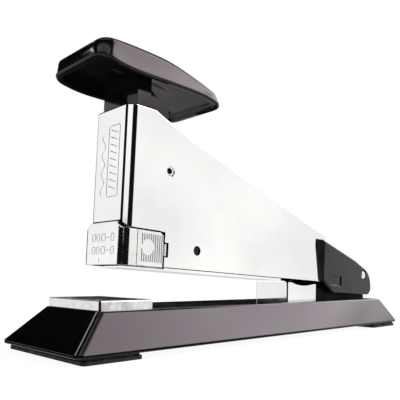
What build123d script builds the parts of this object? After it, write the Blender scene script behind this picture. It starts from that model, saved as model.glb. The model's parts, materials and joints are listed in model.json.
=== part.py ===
from build123d import *
from math import cos, radians, sin
import os

# Desk stapler with a sprung palm handle and a magazine that draws out at the front.
# Millimetres. +X is the rear, +Z is up, the origin is on the table under the middle of the base.

# ---- Base
base_length = 200.0
base_width = 47.6
base_top_width = 32.8
base_bottom = 2.0
base_lip = 1.0
base_top = 14.5
base_front_slope = 11.9
base_rear_slope = 5.4
base_rear_round = 6.0
base_wall = 1.2
corner_round = 2.4
base_front = -base_length / 2
base_rear = base_length / 2
top_front = base_front + base_front_slope
top_rear = base_rear - base_rear_slope
base_ceiling = base_top - base_wall

# ---- Anvil tray
anvil_length = 21.0
anvil_width = 31.0
anvil_height = 3.0
anvil_sheet = 1.0
anvil_x = top_front + 0.4 + anvil_length / 2
forming_x = -74.3

# ---- Rear pivot
pin_radius = 1.5
pin_head = 2.2
bracket_ring = 2.8
shell_ring = 2.5
running_gap = 0.05
bracket_half_width = 9.2
bracket_sheet = 1.2
rivet_radius = 1.25
lift_spring_length = 12.7
housing_front = 17.4
housing_sheet = 0.8

# ---- Arm: u runs to the rear along the lower edge of the head, w runs up the head
arm_tilt = 2.6
head_x = -75.7
head_z = 29.1
shell_half_width = 10.4
shell_wall = 1.0
shell_inner = shell_half_width - shell_wall
head_chamfer = 2.1
head_front_round = 1.33
head_side_round = 2.1
head_top = 53.4
slope_start = 27.4
slope_start_w = 47.8
shell_top_end = 122.0
shell_top_end_w = 22.7
mouth_end = 18.5
pivot_u = 160.0
pivot_w = 5.3
cover_half_width = 12.0
cover_wall = 1.3
cover_ridge = 0.8
window_u = 131.5
window_w = 0.85
window_length = 10.0
window_height = 4.9
seat_u = 104.5
seat_w = 5.0

# ---- Magazine
track_bottom = -1.15
track_sheet = 0.5
shelf_front = 2.1
track_half_width = 7.7
track_inner = 7.1
channel_half_width = 7.0
channel_inner = 6.5
staple_half_width = 6.45
staple_leg = 6.5
guide_half_width = 6.3
blade_half_width = 5.7
cap_half_width = 11.4
cap_sheet = 1.0
cap_front = -1.2
cap_side_top = 11.6
cap_top = 13.8
cap_rear = 16.0
cap_corner = 2.7
latch_start = 4.85
latch_bottom = -0.3
latch_pin_u = 5.9
latch_pin_y = 9.2
rib_start = 7.0
rib_pitch = 0.95
rib_count = 10
rib_height = 0.16
strip_start = 2.3
magazine_rear = 87.0
strip_end = 31.3
pusher_end = 37.8
spring_w = 3.75

# ---- Handle and plunger
handle_half_width = 15.5
handle_front = -88.2
handle_rear = -33.4
handle_wall = 2.2
handle_ceiling = 95.4
neck_half_width = 9.2
neck_front = 1.15
neck_rear = 9.3
neck_bottom = 34.0
stroke = 10.8
blade_bottom = 9.6
screw_x = -69.5
screw_y = 5.2
screw_radius = 1.2
screw_depth = 9.0
screw_bite = 1.4
stop_u = 18.8
stop_w = 33.7
stop_radius = 1.45
stop_recess = 0.25
rail_rivet_u = 33.4
rail_rivet_w = 7.1
rail_rivet_head = 1.75
shelf_top = 13.9
return_spring_u = 5.9

tilt = radians(arm_tilt)
rearward = Vector(cos(tilt), 0, -sin(tilt))
upward = Vector(sin(tilt), 0, cos(tilt))
head_corner = Vector(head_x, 0, head_z)
pivot = head_corner + rearward * pivot_u + upward * pivot_w

# Side view of the arm (sketch x is u, sketch y is w), and of the base (sketch x is X, y is Z).
arm_side = Plane(origin=head_corner, x_dir=rearward, z_dir=(0, -1, 0))
side = Plane.XZ


def arm_plan(height):
    """Plan view of the arm at one height w: sketch x is u, sketch y is Y."""
    return Plane(origin=head_corner + upward * height, x_dir=rearward, z_dir=upward)


def arm_section(distance):
    """Cross-section of the arm at one distance u: sketch x is Y, sketch y is w."""
    return Plane(origin=head_corner + rearward * distance, x_dir=(0, 1, 0), z_dir=rearward)


def arm_side_at(offset):
    """Side view of the arm on the plane Y = -offset."""
    return arm_side.offset(offset)


def coil(start, axis, radius, wire_radius, length, turns, label):
    """A helical compression spring along axis, with its wire's centre line beginning at start."""
    with BuildPart() as spring:
        with BuildLine() as wire_line:
            Helix(pitch=length / turns, height=length, radius=radius, center=start, direction=axis)
        with BuildSketch(Plane(origin=wire_line.line @ 0, z_dir=wire_line.line % 0)):
            Circle(wire_radius)
        sweep(path=wire_line.line, is_frenet=True)
    spring.part.label = label
    export_step(spring.part, f"parts/{label}.step")


os.makedirs("parts", exist_ok=True)


# =====================================================================  Base
def base_block(inset, roof):
    """The base's trapezoid, drawn in by inset on every side and cut off at the roof height."""
    with BuildPart() as block:
        with BuildSketch(Plane.XY.offset(base_bottom)):
            Rectangle(base_length - 2 * inset, base_width - 2 * inset)
        extrude(amount=base_lip)
        with BuildSketch(Plane.XY.offset(base_bottom + base_lip)):
            Rectangle(base_length - 2 * inset, base_width - 2 * inset)
        with BuildSketch(Plane.XY.offset(roof)):
            with Locations(((top_front + top_rear) / 2, 0)):
                Rectangle(top_rear - top_front - 2 * inset, base_top_width - 2 * inset)
        loft()
        fillet(block.edges().filter_by(Axis.Z), corner_round - inset)
        slanted = block.edges().filter_by(lambda e: e.bounding_box().size.Z > 5)
        fillet(slanted, corner_round - inset)
    return block.part


def rear_outline(inset, roof):
    """Side view of the base with its rear top corner rounded, as a slab to cut the base down to."""
    with BuildPart() as slab:
        with BuildSketch(side) as profile:
            Polygon(
                (base_front - 5, 0), (base_front - 5, roof), (top_rear - inset, roof),
                (base_rear - inset, base_bottom + base_lip), (base_rear - inset, 0), align=None,
            )
            rear_corner = profile.vertices().sort_by(lambda v: v.X / 5 + v.Y)[-1]
            fillet(rear_corner, base_rear_round - inset)
        extrude(amount=base_width, both=True)
    return slab.part


# Pressed steel shell: a long trapezoid box, open below, with a short upright lip round its foot.
base_outside = base_block(0, base_top)
with BuildPart() as base_core:
    add(base_block(base_wall, base_ceiling))
    add(rear_outline(base_wall, base_ceiling), mode=Mode.INTERSECT)
base_inside = base_core.part
with BuildPart() as base_shell:
    add(base_outside)
    fillet(base_shell.faces().sort_by(Axis.Z)[-1].edges(), 1.5)
    fillet(base_shell.faces().sort_by(Axis.Z)[0].outer_wire().edges(), 0.4)
    add(rear_outline(0, base_top), mode=Mode.INTERSECT)
    add(base_inside, mode=Mode.SUBTRACT)
    bracket_holes = [(x, y) for x in (47, 78) for y in (-5, 5)]
    housing_holes = [(20.5, 0), (37.5, 0)]
    anvil_holes = [(anvil_x - 6.5, y) for y in (-9, 9)]
    with Locations(*[(x, y, base_top) for x, y in bracket_holes + housing_holes + anvil_holes]):
        Hole(rivet_radius)
base_shell.part.label = "base_shell"
export_step(base_shell.part, "parts/base_shell.step")

# Rubber pads under both ends: a stepped sole and a post that reaches up to the shell's roof.
pads = {
    "front_foot_pad": (base_front + 2.2, base_front + 23.4, base_front + 18.5),
    "rear_foot_pad": (base_rear - 25.8, base_rear - 1.3, base_rear - 14.6),
}
for pad_name, (pad_start, pad_end, post_x) in pads.items():
    pad_x = (pad_start + pad_end) / 2
    pad_length = pad_end - pad_start
    with BuildPart() as foot_pad:
        with BuildSketch():
            with Locations((pad_x, 0)):
                RectangleRounded(pad_length, base_width - 1.2, 1.5)
        extrude(amount=1.1)
        with BuildSketch(Plane.XY.offset(1.1)):
            with Locations((pad_x, 0)):
                RectangleRounded(pad_length - 1.2, base_width - 2.4, 1.2)
        extrude(amount=base_bottom - 1.1)
        with BuildSketch(Plane.XY.offset(base_bottom)):
            with Locations((post_x, 0)):
                Circle(4)
        extrude(amount=base_ceiling - base_bottom)
    foot_pad.part.label = pad_name
    export_step(foot_pad.part, f"parts/{pad_name}.step")

# Plated tray that the head comes down on, with the two hollows that turn the staple's legs in.
with BuildPart() as anvil_plate:
    with BuildSketch(Plane.XY.offset(base_top)):
        with Locations((anvil_x, 0)):
            Rectangle(anvil_length, anvil_width)
    extrude(amount=anvil_height)
    fillet(anvil_plate.faces().sort_by(Axis.Z)[-1].edges(), 0.5)
    with BuildSketch(Plane.XY.offset(base_top)):
        with Locations((anvil_x, 0)):
            Rectangle(anvil_length - 2 * anvil_sheet, anvil_width - 2 * anvil_sheet)
    extrude(amount=anvil_height - anvil_sheet, mode=Mode.SUBTRACT)
    with BuildSketch(Plane.XY.offset(base_top)):
        with Locations((anvil_x, 0)):
            with GridLocations(anvil_length, anvil_width, 2, 2):
                Rectangle(1.4, 1.4)
    extrude(amount=anvil_height, mode=Mode.SUBTRACT)
    with BuildSketch(Plane.XY.offset(base_top + anvil_height)):
        with Locations((forming_x, -3.7), (forming_x, 3.7)):
            SlotOverall(6.4, 2.2, rotation=90)
    extrude(amount=-0.5, mode=Mode.SUBTRACT)
    with Locations(*[(x, y, base_top + anvil_height) for x, y in anvil_holes]):
        Hole(rivet_radius)
anvil_plate.part.label = "anvil_plate"
export_step(anvil_plate.part, "parts/anvil_plate.step")


def rivets(places, top, label):
    """Rivets through the base's roof: a shank up to the given height and a domed head below."""
    with BuildPart() as rivet_group:
        for x, y in places:
            with BuildSketch(Plane.XY.offset(base_ceiling)):
                with Locations((x, y)):
                    Circle(rivet_radius)
            extrude(amount=top - base_ceiling)
            with BuildSketch(Plane.XY.offset(base_ceiling)):
                with Locations((x, y)):
                    Circle(2 * rivet_radius)
            extrude(amount=-1.2)
    rivet_group.part.label = label
    export_step(rivet_group.part, f"parts/{label}.step")


rivets(anvil_holes, base_top + anvil_height, "anvil_rivets")

# Black steel channel that carries the arm's pin between its two cheeks.
with BuildPart() as hinge_bracket:
    with BuildSketch(side) as cheek:
        with Locations((pivot.X, pivot.Z)):
            Circle(bracket_ring)
        with Locations((75, base_top + 0.5)):
            Rectangle(29, 1)
        make_hull()
        with Locations((52, (base_top + 20.6) / 2)):
            Rectangle(21, 20.6 - base_top)
    extrude(amount=bracket_half_width, both=True)
    with BuildSketch(side):
        with Locations((65, base_top + bracket_sheet + 10)):
            Rectangle(60, 20)
    extrude(amount=bracket_half_width - bracket_sheet, both=True, mode=Mode.SUBTRACT)
    with BuildSketch(side):
        with Locations((pivot.X, pivot.Z)):
            Circle(pin_radius + 0.02)
    extrude(amount=bracket_half_width, both=True, mode=Mode.SUBTRACT)
    with Locations(*[(x, y, base_top + bracket_sheet) for x, y in bracket_holes]):
        Hole(rivet_radius, depth=bracket_sheet)
hinge_bracket.part.label = "hinge_bracket"
export_step(hinge_bracket.part, "parts/hinge_bracket.step")
rivets(bracket_holes, base_top + bracket_sheet + 0.8, "bracket_rivets")

# Plated channel round the spring that lifts the arm; its top edges are scooped.
with BuildPart() as spring_housing:
    with BuildSketch(side):
        with BuildLine():
            front_foot = (housing_front, base_top)
            front_top = (housing_front, 23.2)
            rear_top = (41.0, 22.2)
            rear_foot = (41.0, base_top)
            Line(rear_foot, front_foot)
            Line(front_foot, front_top)
            Line(front_top, (20.5, 23.1))
            ThreePointArc((20.5, 23.1), (29.5, 21.6), (38.5, 22.3))
            Line((38.5, 22.3), rear_top)
            Line(rear_top, rear_foot)
        make_face()
    extrude(amount=bracket_half_width, both=True)
    with BuildSketch(side):
        with Locations((housing_front + housing_sheet, base_top + housing_sheet)):
            Rectangle(30, 20, align=Align.MIN)
    extrude(amount=bracket_half_width - housing_sheet, both=True, mode=Mode.SUBTRACT)
    fillet(spring_housing.edges().filter_by(Axis.Z).sort_by(Axis.X)[:2], 0.6)
    with Locations(*[(x, y, base_top + housing_sheet) for x, y in housing_holes]):
        Hole(rivet_radius, depth=housing_sheet)
spring_housing.part.label = "spring_housing"
export_step(spring_housing.part, "parts/spring_housing.step")
rivets(housing_holes, base_top + housing_sheet + 0.6, "housing_rivets")

# Pin through the bracket's cheeks, with domed ends that stop just inside the cover's faces.
with BuildPart() as pivot_pin:
    with BuildSketch(side):
        with Locations((pivot.X, pivot.Z)):
            Circle(pin_radius)
    extrude(amount=cover_half_width - 0.6, both=True)
    for side_sign in (-1, 1):
        with BuildSketch(side.offset(side_sign * (cover_half_width - 0.72))):
            with Locations((pivot.X, pivot.Z)):
                Circle(pin_head)
        extrude(amount=side_sign * 0.7)
    fillet(pivot_pin.faces().filter_by(Axis.Y).sort_by(Axis.Y)[0].edges(), 0.45)
    fillet(pivot_pin.faces().filter_by(Axis.Y).sort_by(Axis.Y)[-1].edges(), 0.45)
pivot_pin.part.label = "pivot_pin"
export_step(pivot_pin.part, "parts/pivot_pin.step")

# =====================================================================  Arm
# Space inside the folded head: front wall, sloping roof, open below, behind and at the mouth.
with BuildPart() as shell_core:
    with BuildSketch(arm_side):
        Polygon(
            (shell_wall, -5), (180, -5), (180, shell_top_end_w - shell_wall - 15.4),
            (shell_top_end, shell_top_end_w - shell_wall), (slope_start, slope_start_w - shell_wall),
            (mouth_end, slope_start_w - shell_wall + 2.9), (mouth_end, 60), (shell_wall, 60),
            align=None,
        )
    extrude(amount=shell_inner, both=True)
    front_edges = shell_core.edges().filter_by(lambda e: abs(e.tangent_at(0).dot(upward)) > 0.999)
    front_edges = front_edges.sort_by(lambda e: (e.center() - head_corner).dot(rearward))[:2]
    chamfer(front_edges, head_chamfer - 0.4)

# Outline of the cap's corner cut, taken out of the head all round its foot with a fine gap.
with BuildPart() as cap_space:
    with BuildSketch(arm_section(cap_rear + 1.6)):
        Polygon(
            (-14, -5), (-14, 12.35), (-10.2, 12.35), (-7.7, 14.5), (7.7, 14.5), (10.2, 12.35),
            (14, 12.35), (14, -5), align=None,
        )
    extrude(amount=-21)
    rear_top_edge = cap_space.edges().filter_by(Axis.Y)
    rear_top_edge = rear_top_edge.sort_by(lambda e: (e.center() - head_corner).dot(rearward))
    rear_corners = rear_top_edge.filter_by(
        lambda e: (e.center() - head_corner).dot(rearward) > cap_rear
        and 11 < (e.center() - head_corner).dot(upward) < 12.7
    )
    fillet(rear_corners, 2.4)

# Plated steel wedge: the head, its long sloping roof and two cheeks back to the pin.
with BuildPart() as body_shell:
    with BuildSketch(arm_side):
        with BuildLine():
            Polyline(
                (119, 0), (0, 0), (0, head_top - 0.2), (11.3, head_top + 0.2), (13.5, 52.6),
                (slope_start, slope_start_w), (shell_top_end, shell_top_end_w), (shell_top_end, 17.2),
                (150, 10.9), (pivot_u, pivot_w + shell_ring),
            )
            ThreePointArc(
                (pivot_u, pivot_w + shell_ring), (pivot_u + shell_ring, pivot_w),
                (pivot_u, pivot_w - shell_ring),
            )
            Line((pivot_u, pivot_w - shell_ring), (119, 0))
        make_face()
    extrude(amount=shell_half_width, both=True)
    upright = body_shell.edges().filter_by(lambda e: abs(e.tangent_at(0).dot(upward)) > 0.999)
    upright = upright.sort_by(lambda e: (e.center() - head_corner).dot(rearward))[:2]
    chamfer(upright, head_chamfer)
    upright = body_shell.edges().filter_by(lambda e: abs(e.tangent_at(0).dot(upward)) > 0.999)
    upright = upright.sort_by(lambda e: (e.center() - head_corner).dot(rearward))
    fillet(upright[:2], head_front_round)
    upright = body_shell.edges().filter_by(lambda e: abs(e.tangent_at(0).dot(upward)) > 0.999)
    upright = upright.filter_by(
        lambda e: abs(abs(e.center().Y) - shell_half_width) < 0.01
        and abs((e.center() - head_corner).dot(rearward) - head_chamfer) < 0.01
    )
    fillet(upright, head_side_round)
    roof_edges = body_shell.edges().filter_by(
        lambda e: abs(abs(e.center().Y) - shell_half_width) < 0.01
        and abs(e.tangent_at(0).dot(upward)) < 0.5
        and (e.center() - head_corner).dot(upward) > 24
    )
    fillet(roof_edges, 0.7)
    add(shell_core.part, mode=Mode.SUBTRACT)
    add(cap_space.part, mode=Mode.SUBTRACT)
    with BuildSketch(arm_side):
        with Locations((stop_u, stop_w)):
            Circle(stop_radius + 0.02)
        with Locations((rail_rivet_u, rail_rivet_w)):
            Circle(rail_rivet_head + 0.05)
        with Locations((18.15, 6.0)):
            Rectangle(2.3, 5.2)
        with Locations((pivot_u, pivot_w)):
            Circle(pin_radius + running_gap)
    extrude(amount=20, both=True, mode=Mode.SUBTRACT)
    for side_sign in (-1, 1):
        with BuildSketch(arm_side_at(side_sign * (shell_half_width - 0.35))):
            with Locations((stop_u, stop_w)):
                Circle(stop_radius + 0.02)
        with BuildSketch(arm_side_at(side_sign * shell_half_width)):
            with Locations((stop_u, stop_w)):
                Circle(stop_radius + 0.37)
        loft(mode=Mode.SUBTRACT)
body_shell.part.label = "body_shell"
export_step(body_shell.part, "parts/body_shell.step")

# Black cover over the pivot: two cheeks on the outside of the shell, joined by a roof at the rear.
cover_outline = [
    (119.4, 0), (112.7, 18.4), (113.6, 20.4), (119.2, 20.3), (150.4, 12.8), (161, 9.3),
]
with BuildPart() as cover_core:
    with BuildSketch(arm_side):
        with BuildLine():
            Polyline(
                (100, -12), (100, 40), (shell_top_end + 0.3, 40), (shell_top_end + 0.3, 18.3),
                (150.1, 12.8 - cover_wall), (160.6, 9.3 - cover_ridge),
            )
            ThreePointArc((160.6, 9.3 - cover_ridge), (166.0, 5.0), (167.8, -1))
            Polyline((167.8, -1), (167.8, -12), (100, -12))
        make_face()
    extrude(amount=shell_half_width, both=True)

with BuildPart() as rear_cover:
    with BuildSketch(arm_side):
        with BuildLine():
            Polyline(*reversed(cover_outline))
            Polyline((119.4, 0), (126.6, -4.4), (128.4, -5.0), (163, -5.0))
            ThreePointArc((163, -5.0), (167.6, -3.4), (169.1, 0.5))
            ThreePointArc((169.1, 0.5), (166.8, 5.6), (161, 9.3))
        make_face()
    extrude(amount=cover_half_width, both=True)
    rim = rear_cover.edges().filter_by(
        lambda e: abs(abs(e.center().Y) - cover_half_width) < 0.01
        and (e.center() - head_corner).dot(rearward) > 118
        and (e.center() - head_corner).dot(upward) > -3
    )
    fillet(rim, 1.1)
    for side_sign in (-1, 1):
        with BuildSketch(arm_plan(0)):
            Polygon(
                (100, side_sign * cover_half_width), (119.6, side_sign * cover_half_width),
                (112.4, side_sign * (shell_half_width - 0.2)), (100, side_sign * shell_half_width),
                align=None,
            )
        extrude(amount=30, both=True, mode=Mode.SUBTRACT)
    add(cover_core.part, mode=Mode.SUBTRACT)
    with BuildSketch(arm_side):
        with Locations((pivot_u, pivot_w)):
            Circle(pin_radius + running_gap)
    extrude(amount=20, both=True, mode=Mode.SUBTRACT)
    for side_sign in (-1, 1):
        with BuildSketch(arm_side_at(side_sign * (cover_half_width - 0.8))):
            with Locations((pivot_u, pivot_w)):
                Circle(pin_head + 0.6)
        extrude(amount=side_sign * 5, mode=Mode.SUBTRACT)
        with BuildSketch(arm_side_at(side_sign * (cover_half_width - 0.5))):
            with Locations((window_u, window_w)):
                Rectangle(window_length, window_height)
        extrude(amount=side_sign * 5, mode=Mode.SUBTRACT)
rear_cover.part.label = "rear_cover"
export_step(rear_cover.part, "parts/rear_cover.step")

# Fixed rail that the drawer runs in; its sides are cut back behind the latches.
with BuildPart() as magazine_track:
    with BuildSketch(arm_section(shelf_front)):
        with Locations((0, track_bottom)):
            Rectangle(2 * track_half_width, track_sheet, align=(Align.CENTER, Align.MIN))
    extrude(amount=magazine_rear + 3 - shelf_front)
    with BuildSketch(arm_section(20)):
        for side_sign in (-1, 1):
            with Locations((side_sign * (track_half_width + track_inner) / 2, track_bottom)):
                Rectangle(track_half_width - track_inner, 10.4, align=(Align.CENTER, Align.MIN))
    extrude(amount=magazine_rear + 3 - 20)
magazine_track.part.label = "magazine_track"
export_step(magazine_track.part, "parts/magazine_track.step")

# Blackened rivets that hold the rail's sides to the shell.
with BuildPart() as track_rivets:
    for side_sign in (-1, 1):
        with BuildSketch(arm_side_at(side_sign * track_half_width)):
            with Locations((rail_rivet_u, rail_rivet_w)):
                Circle(rail_rivet_head + 0.4)
        extrude(amount=side_sign * (shell_inner - track_half_width))
        with BuildSketch(arm_side_at(side_sign * shell_inner)):
            with Locations((rail_rivet_u, rail_rivet_w)):
                Circle(rail_rivet_head)
        extrude(amount=side_sign * 0.5)
track_rivets.part.label = "track_rivets"
export_step(track_rivets.part, "parts/track_rivets.step")

# Plate across the shell that the lift spring pushes on.
with BuildPart() as spring_seat:
    with BuildSketch(arm_plan(seat_w)):
        with Locations((seat_u, 0)):
            Rectangle(13, 2 * shell_inner)
    extrude(amount=1.0)
    with BuildSketch(arm_plan(seat_w + 1.0)):
        with Locations((seat_u, shell_inner - 0.5), (seat_u, -shell_inner + 0.5)):
            Rectangle(13, 1.0)
    extrude(amount=5)
    with BuildSketch(arm_plan(seat_w)):
        with Locations((seat_u, 0)):
            Circle(2.6)
    extrude(amount=-2.0)
spring_seat.part.label = "spring_seat"
export_step(spring_seat.part, "parts/spring_seat.step")

# Shelf across the head: roof of the magazine, floor of the return spring and guide of the blade.
with BuildPart() as spring_shelf:
    with BuildSketch(arm_plan(shelf_top - 1.2)):
        Polygon(
            (shelf_front, 7.9), (3.6, shell_inner), (15.9, shell_inner), (15.9, -shell_inner),
            (3.6, -shell_inner), (shelf_front, -7.9), align=None,
        )
    extrude(amount=1.2)
    with BuildSketch(arm_plan(shelf_top)):
        with Locations((2.5, 0)):
            Rectangle(0.8, 2 * guide_half_width)
    extrude(amount=7)
    with BuildSketch(arm_plan(shelf_top)):
        with Locations((15.5, 0)):
            Rectangle(0.8, 2 * shell_inner)
    extrude(amount=3.5)
    with BuildSketch(arm_plan(shelf_top)):
        with Locations((return_spring_u, 0)):
            Circle(1.7)
    extrude(amount=3)
spring_shelf.part.label = "spring_shelf"
export_step(spring_shelf.part, "parts/spring_shelf.step")

# Cross pin that limits the plunger's travel; its ends show in the head's sides.
with BuildPart() as stop_pin:
    with BuildSketch(arm_side):
        with Locations((stop_u, stop_w)):
            Circle(stop_radius)
    extrude(amount=shell_half_width - stop_recess, both=True)
    fillet(stop_pin.edges().filter_by(GeomType.CIRCLE), 0.2)
stop_pin.part.label = "stop_pin"
export_step(stop_pin.part, "parts/stop_pin.step")

# =====================================================================  Handle and plunger
# Square plunger with clipped front corners, a wedge behind it and a web slotted for the stop pin.
with BuildPart() as plunger:
    with BuildSketch(arm_plan(neck_bottom)):
        Polygon(
            (neck_front, neck_half_width - 2.4), (neck_front + 2.4, neck_half_width),
            (neck_rear, neck_half_width), (neck_rear, -neck_half_width),
            (neck_front + 2.4, -neck_half_width), (neck_front, -neck_half_width + 2.4), align=None,
        )
    extrude(amount=36)
    with BuildSketch(arm_side):
        Polygon((neck_rear - 1, 61.4), (17.6, 55.9), (17.6, 43), (neck_rear - 1, 43), align=None)
    extrude(amount=neck_half_width - 0.9, both=True)
    with BuildSketch(arm_side):
        Polygon((neck_rear - 1, 57.4), (17.6, 54.5), (17.6, 43), (neck_rear - 1, 43), align=None)
    extrude(amount=neck_half_width, both=True)
    with BuildSketch(arm_side):
        Polygon((neck_rear - 0.3, 29.5), (neck_rear - 0.3, 48), (21.6, 48), (21.6, 29.5), align=None)
    extrude(amount=2.5, both=True)
    with BuildSketch(arm_side):
        with Locations((stop_u, stop_w + stroke / 2)):
            SlotOverall(stroke + 2 * stop_radius + 0.4, 2 * stop_radius + 0.4, rotation=90)
    extrude(amount=10, both=True, mode=Mode.SUBTRACT)
    with BuildSketch(arm_plan(neck_bottom)):
        with Locations(((neck_front + 1.9) / 2, 0)):
            Rectangle(1.9 - neck_front, 2 * blade_half_width + 0.1)
    extrude(amount=10.2, mode=Mode.SUBTRACT)
    split(bisect_by=Plane.XY.offset(handle_ceiling), keep=Keep.BOTTOM)
    with Locations(*[(screw_x, y, handle_ceiling) for y in (-screw_y, screw_y)]):
        Hole(screw_radius, depth=screw_depth)
plunger.part.label = "plunger"
export_step(plunger.part, "parts/plunger.step")

# Broad palm pad, hollow below, with its rear end turned down.
with BuildPart() as handle_core:
    with BuildSketch(side):
        Polygon(
            (-85.6, 80), (-85.6, handle_ceiling), (-60, handle_ceiling), (-37.6, 91.4), (-37.6, 80),
            align=None,
        )
    extrude(amount=handle_half_width - handle_wall, both=True)
    fillet(handle_core.edges().filter_by(Axis.Z), 2.5)

with BuildPart() as handle_pad:
    with BuildSketch(side):
        with BuildLine():
            Line((-87.4, 92.1), (handle_front, 97.4))
            Spline((handle_front, 97.4), (-80, 99.0), (-66, 99.2), (-46, 96.3), (-35.0, 93.0))
            ThreePointArc((-35.0, 93.0), (handle_rear, 90.8), (-34.8, 88.2))
            Spline((-34.8, 88.2), (-44, 90.0), (-60, 90.1), (-76, 90.0), (-87.4, 92.1))
        make_face()
    extrude(amount=handle_half_width, both=True)
    with BuildSketch():
        with Locations(((handle_front + handle_rear) / 2, 0)):
            RectangleRounded(handle_rear - handle_front, 2 * handle_half_width, 3.6)
    extrude(amount=120, mode=Mode.INTERSECT)
    add(handle_core.part, mode=Mode.SUBTRACT)
    with BuildSketch(Plane.XY.offset(handle_ceiling)):
        with Locations((screw_x, -screw_y), (screw_x, screw_y)):
            Circle(screw_radius)
    extrude(amount=screw_bite, mode=Mode.SUBTRACT)
handle_pad.part.label = "handle_pad"
export_step(handle_pad.part, "parts/handle_pad.step")

# Threaded studs that join the pad to the plunger.
with BuildPart() as handle_studs:
    with BuildSketch(Plane.XY.offset(handle_ceiling - screw_depth)):
        with Locations((screw_x, -screw_y), (screw_x, screw_y)):
            Circle(screw_radius)
    extrude(amount=screw_depth + screw_bite)
handle_studs.part.label = "handle_studs"
export_step(handle_studs.part, "parts/handle_studs.step")

# Hardened strip that drives the staple, let into the plunger's front face.
with BuildPart() as driver_blade:
    with BuildSketch(arm_plan(blade_bottom)):
        with Locations((1.55, 0)):
            Rectangle(0.6, 2 * blade_half_width)
    extrude(amount=neck_bottom + 10 - blade_bottom)
driver_blade.part.label = "driver_blade"
export_step(driver_blade.part, "parts/driver_blade.step")

# Spring under the plunger, round the shelf's peg.
return_start = head_corner + rearward * return_spring_u + upward * (shelf_top + 0.45)
coil(return_start, upward, 2.4, 0.4, neck_bottom - shelf_top - 0.9, 7, "return_spring")

# =====================================================================  Drawer
# Plated cap wrapped round the foot of the head, with a nose that backs the blade and hinge ears.
with BuildPart() as cap_outline:
    with BuildSketch(arm_section(cap_rear)):
        Polygon(
            (-cap_half_width, -0.4), (-cap_half_width, cap_side_top), (-9.9, cap_side_top),
            (-7.4, cap_top), (7.4, cap_top), (9.9, cap_side_top), (cap_half_width, cap_side_top),
            (cap_half_width, -0.4), align=None,
        )
    extrude(amount=cap_front - cap_rear)
    front_corners = cap_outline.edges().filter_by(lambda e: abs(e.tangent_at(0).dot(upward)) > 0.999)
    front_corners = front_corners.sort_by(lambda e: (e.center() - head_corner).dot(rearward))[:2]
    fillet(front_corners, cap_corner)

with BuildPart() as front_cap:
    add(cap_outline.part)
    with BuildSketch(arm_plan(-1)):
        with Locations((10 + cap_front + cap_sheet, 0)):
            RectangleRounded(20, 2 * (cap_half_width - cap_sheet), 2.1)
        with Locations((14.7, 0)):
            Rectangle(20, 30)
    extrude(amount=20, mode=Mode.SUBTRACT)
    with BuildSketch(arm_plan(-0.4)):
        with Locations((0.45, 0)):
            Rectangle(1.3, 2 * guide_half_width)
    extrude(amount=11)
    for side_sign in (-1, 1):
        for ear_bottom, ear_top in ((-0.4, 0.3), (10.8, 11.4)):
            with BuildSketch(arm_plan(ear_bottom)):
                with Locations((1.5, side_sign * 9.15)):
                    Rectangle(5.8, 1.9, align=(Align.MIN, Align.CENTER))
            extrude(amount=ear_top - ear_bottom)
        with BuildSketch(arm_plan(-1)):
            with Locations((latch_pin_u, side_sign * latch_pin_y)):
                Circle(0.52)
        extrude(amount=20, mode=Mode.SUBTRACT)
        with BuildSketch(arm_plan(-0.4)):
            with Locations((1.5, side_sign * 9.9)):
                Rectangle(3.2, 1.2, align=(Align.MIN, Align.CENTER))
        extrude(amount=11.8)
front_cap.part.label = "front_cap"
export_step(front_cap.part, "parts/front_cap.step")

# Squeeze latches: a ribbed grip outside, a lug on the pin and an arm whose tip sits in the slot.
for latch_name, side_sign in (("latch_left", -1), ("latch_right", 1)):
    with BuildPart() as latch:
        add(cap_outline.part)
        with BuildSketch(arm_side):
            with Locations((latch_start, latch_bottom)):
                Rectangle(cap_rear - latch_start, cap_side_top - latch_bottom, align=Align.MIN)
        extrude(amount=20, both=True, mode=Mode.INTERSECT)
        with BuildSketch(arm_side_at(-side_sign * (cap_half_width - cap_sheet / 2))):
            with Locations((latch_start, latch_bottom)):
                Rectangle(cap_rear - latch_start, cap_side_top - latch_bottom, align=Align.MIN)
        extrude(amount=cap_sheet / 2, both=True, mode=Mode.INTERSECT)
        top_corner = latch.edges().filter_by(Axis.Y).sort_by(
            lambda e: (e.center() - head_corner).dot(rearward + upward)
        )[-1]
        fillet(top_corner, 2.0)
        with BuildSketch(arm_side_at(-side_sign * cap_half_width)):
            with Locations(*[(rib_start + rib_pitch * k, 6.0) for k in range(rib_count)]):
                SlotOverall(9.6, 0.45, rotation=90)
            with Locations((9.4, 6.2)):
                Circle(2.7, mode=Mode.SUBTRACT)
        extrude(amount=-side_sign * rib_height)
        with BuildSketch(arm_plan(0.5)):
            with Locations((latch_start, side_sign * (cap_half_width - cap_sheet))):
                Rectangle(2.2, 2.4, align=(Align.MIN, Align.MAX if side_sign > 0 else Align.MIN))
        extrude(amount=10.1)
        with BuildSketch(arm_plan(3.9)):
            with Locations((12, side_sign * 9.8)):
                Rectangle(3, 1.2)
            with Locations((14.5, side_sign * 9.0)):
                Rectangle(8.1, 0.5)
            with Locations((18.3, side_sign * 9.55)):
                Rectangle(0.5, 1.1)
        extrude(amount=4.2)
        with BuildSketch(arm_plan(-1)):
            with Locations((latch_pin_u, side_sign * latch_pin_y)):
                Circle(0.5 + running_gap)
        extrude(amount=20, mode=Mode.SUBTRACT)
    latch.part.label = latch_name
    export_step(latch.part, f"parts/{latch_name}.step")

with BuildPart() as latch_pins:
    with BuildSketch(arm_plan(-0.4)):
        with Locations((latch_pin_u, latch_pin_y), (latch_pin_u, -latch_pin_y)):
            Circle(0.5)
    extrude(amount=11.8)
latch_pins.part.label = "latch_pins"
export_step(latch_pins.part, "parts/latch_pins.step")

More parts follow.
